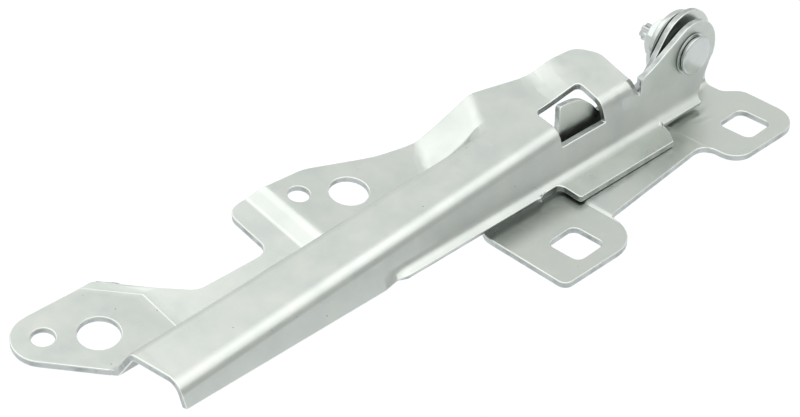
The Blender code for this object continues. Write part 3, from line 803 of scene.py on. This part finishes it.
@dataclass
class Studio:
    """A white floor, a white tent around it, two soft boxes and the camera.

    Places are in millimetres, angles in degrees, and levels such that 1 is white.
    """

    # The floor lies well below the hinge, and ends on the right, so that the metal mirrors the tent there.
    floor_z: float = -250.0
    floor_x: Pair = (-2600.0, 1050.0)
    floor_y: Pair = (-2600.0, 2600.0)
    floor_tone: str = "#EAECEE"
    back_level: float = 0.936
    bright_level: float = 1.5
    # Each cloth's direction, and the cosines between which it fades in. The bright one also needs height.
    bright_way: Triple = (-0.904, -0.427, 0.0)
    bright_edge: Pair = (-0.46, -0.38)
    bright_height: Pair = (0.42, 0.60)
    dark_way: Triple = (0.0, -0.91, -0.42)
    dark_edge: Pair = (0.33, 0.52)
    dark_share: float = 0.62
    lens: float = 81.0
    camera_place: Triple = (-387.2, -331.3, 381.8)
    camera_azimuth: float = 43.65
    camera_elevation: float = 36.25
    # Each box's direction, its distance and width in metres, and its brightness.
    boxes: dict[Lamp, tuple[Triple, float, float, float]] = field(default_factory=lambda: {
        Lamp.OVERHEAD: ((-0.08, 0.55, 0.83), 1.3, 0.6, 0.36),
        Lamp.FRONT_RIGHT: ((0.42, -0.25, 0.86), 1.3, 0.6, 0.4),
    })

    def build(self) -> None:
        """Build the whole studio."""
        bpy.context.scene.view_settings.view_transform = "Standard"
        self.build_floor()
        self.build_world()
        for kind, values in self.boxes.items():
            self.add_box(kind, *values)
        self.add_camera()

    def build_floor(self) -> None:
        """Build the floor: matt white board, a touch cool."""
        bm = bmesh.new()
        bmesh.ops.create_grid(bm, x_segments=1, y_segments=1, size=0.5)
        bmesh.ops.scale(bm, verts=bm.verts, vec=((self.floor_x[1] - self.floor_x[0]) * MM,
                                                 (self.floor_y[1] - self.floor_y[0]) * MM, 1.0))
        bmesh.ops.translate(bm, verts=bm.verts, vec=(sum(self.floor_x) / 2 * MM, sum(self.floor_y) / 2 * MM,
                                                     self.floor_z * MM))
        board = bpy.data.materials.new("matt_white_board")
        board.use_nodes = True
        shader = board.node_tree.nodes["Principled BSDF"]
        shader.inputs["Base Color"].default_value = linear(self.floor_tone)
        shader.inputs["Roughness"].default_value = 0.9
        shader.inputs["Specular IOR Level"].default_value = 0.1
        link_mesh("floor", bm, [board])

    def build_world(self) -> None:
        """Build the surrounding tent, which is white to the camera and pale in the metal.

        A brighter cloth hangs overhead, but not on the right. A darker one low in front draws the line
        along the arm's front bend.
        """
        world = bpy.data.worlds.new("white_tent")
        bpy.context.scene.world = world
        world.use_nodes = True
        tree = world.node_tree
        tree.nodes.clear()
        way = add_node(tree, "ShaderNodeTexCoord").outputs["Generated"]
        split = add_node(tree, "ShaderNodeSeparateXYZ", {"Vector": way})
        height = self.add_fade(tree, split.outputs["Z"], self.bright_height, (0.0, 1.0))
        side = self.add_fade(tree, self.add_share(tree, way, self.bright_way), self.bright_edge,
                             (0.0, self.bright_level - self.back_level))
        back = self.add_fade(tree, self.add_share(tree, way, self.dark_way), self.dark_edge,
                             (self.back_level, self.back_level * self.dark_share))
        level = add_node(tree, "ShaderNodeMath", {0: side, 1: height, 2: back}, operation="MULTIPLY_ADD")
        path = add_node(tree, "ShaderNodeLightPath")
        seen = add_node(tree, "ShaderNodeMix", {
            "Factor": path.outputs["Is Camera Ray"], "A": level.outputs[0], "B": 1.0}, data_type="FLOAT")
        cloth = add_node(tree, "ShaderNodeBackground", {
            "Color": linear("#FFFFFF"), "Strength": seen.outputs[0]})
        add_node(tree, "ShaderNodeOutputWorld", {"Surface": cloth.outputs["Background"]})

    def add_share(self, tree: bpy.types.NodeTree, way: bpy.types.NodeSocket,
                  towards: Triple) -> bpy.types.NodeSocket:
        """Return the cosine between a direction and a fixed one."""
        return add_node(tree, "ShaderNodeVectorMath", {0: way, 1: towards},
                        operation="DOT_PRODUCT").outputs["Value"]

    def add_fade(self, tree: bpy.types.NodeTree, value: bpy.types.NodeSocket, span: Pair,
                 levels: Pair) -> bpy.types.NodeSocket:
        """Add a soft step from one level to another.

        Args:
            tree: The world's tree.
            value: The value that the step follows.
            span: Where the value starts and ends the step.
            levels: The level before the step and the one after it.

        Returns:
            The level.
        """
        return add_node(tree, "ShaderNodeMapRange", {
            "Value": value, "From Min": span[0], "From Max": span[1], "To Min": levels[0],
            "To Max": levels[1]}, interpolation_type="SMOOTHSTEP").outputs["Result"]

    def add_box(self, kind: Lamp, way: Triple, distance: float, width: float, brightness: float) -> None:
        """Hang a square soft box that faces the hinge.

        Args:
            kind: Which box it is.
            way: Its direction from the hinge.
            distance: How far away it hangs, in metres.
            width: Its side, in metres.
            brightness: The brightness of its face, where 1 is white.
        """
        light = bpy.data.lights.new(kind.value + "_box", "AREA")
        light.shape = "SQUARE"
        light.size = width
        light.energy = brightness * math.pi * width ** 2
        made = bpy.data.objects.new(light.name, light)
        bpy.context.scene.collection.objects.link(made)
        outward = Vector(way).normalized()
        made.location = outward * distance
        made.rotation_euler = outward.to_track_quat("Z", "Y").to_euler()

    def add_camera(self) -> None:
        """Place the camera at the photograph's viewing angle, above the hinge's left front."""
        data = bpy.data.cameras.new("camera")
        data.sensor_width = 36.0
        data.lens = self.lens
        data.clip_start = 0.02
        made = bpy.data.objects.new("camera", data)
        bpy.context.scene.collection.objects.link(made)
        turn, tilt = math.radians(self.camera_azimuth), math.radians(self.camera_elevation)
        right = Vector((math.cos(turn), -math.sin(turn), 0.0))
        ahead = Vector((math.sin(turn) * math.cos(tilt), math.cos(turn) * math.cos(tilt), -math.sin(tilt)))
        pose = Matrix((right, right.cross(ahead), -ahead)).transposed().to_4x4()
        pose.translation = Vector(self.camera_place) * MM
        made.matrix_world = pose
        bpy.context.scene.camera = made


def main() -> None:
    """Build the pressings, the pivot and the studio."""
    logging.basicConfig(level=logging.INFO, format="%(name)s: %(message)s")
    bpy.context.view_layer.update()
    edge = PunchedEdge("punched_edge")
    # The rolled-over rim of a punched sheet: polished by the press, so it draws a thin bright line.
    rim = ZincPlate("burnished_rim", tone="#DCE0DA", cloud_tone="#D2D7D1", roughness=(0.2, 0.3),
                    pit_radius=0.1)
    # The underside: a greyer tone, painted shade for the hollows below the sheet, and rougher, with wide and
    # weak highlights.
    under = ZincPlate("painted_shade_underside", tone="#9DA19D", cloud_tone="#8F9490", warm_tone="#A5A59B",
                      roughness=(0.35, 0.5))
    # The arm: bright plate with a crisp line across its flange, and duller towards its ear.
    arm = ZincPlate("bright_zinc_arm", fold=(-128.7, 63.0), matte_x=(62.0, 76.0))
    # The bracket: a shade darker, with painted shade in the nook below the arm and creases by a tight bend.
    bracket = ZincPlate("bright_zinc_bracket", tone="#C8CDC6", nook_shade_x=(17.0, 28.0),
                        wrinkle_centre=(96.0, 10.0, 2.5))
    # Turned and plated steel: tighter highlights than the sheet's, and no drawn lines.
    turned = ZincPlate("bright_zinc_turned", tone="#C3C8C5", cloud_tone="#BBC1BE", warm_tone="#C9C9C1",
                       line_depth=0.0, roughness=(0.18, 0.26), pit_radius=0.12)
    # The same plate on the spacer, painted dark as shade for the gap between the ears, and hardly shining.
    spacer_shade_finish = ZincPlate("painted_shade_spacer", tone="#5C605D", cloud_tone="#505351", warm_tone="#63635D",
                        roughness=(0.3, 0.42))
    # Drawn brass, on the bush: a warm yellow with the same soft highlights.
    brass = ZincPlate("brass_bush", tone="#C9A860", cloud_tone="#B7954F", warm_tone="#D2B36C")
    SheetPressing("bonnet_arm", ARM, "arm_zinc", arm, under, edge, rim, crisp=(68.4, 17.6, 22.8)).build()
    SheetPressing("body_bracket", BRACKET, "bracket_zinc", bracket, under, edge, rim).build()
    PivotSet(Axis(), turned, spacer_shade_finish, brass).build()
    Studio().build()


if __name__ == "__main__":
    main()
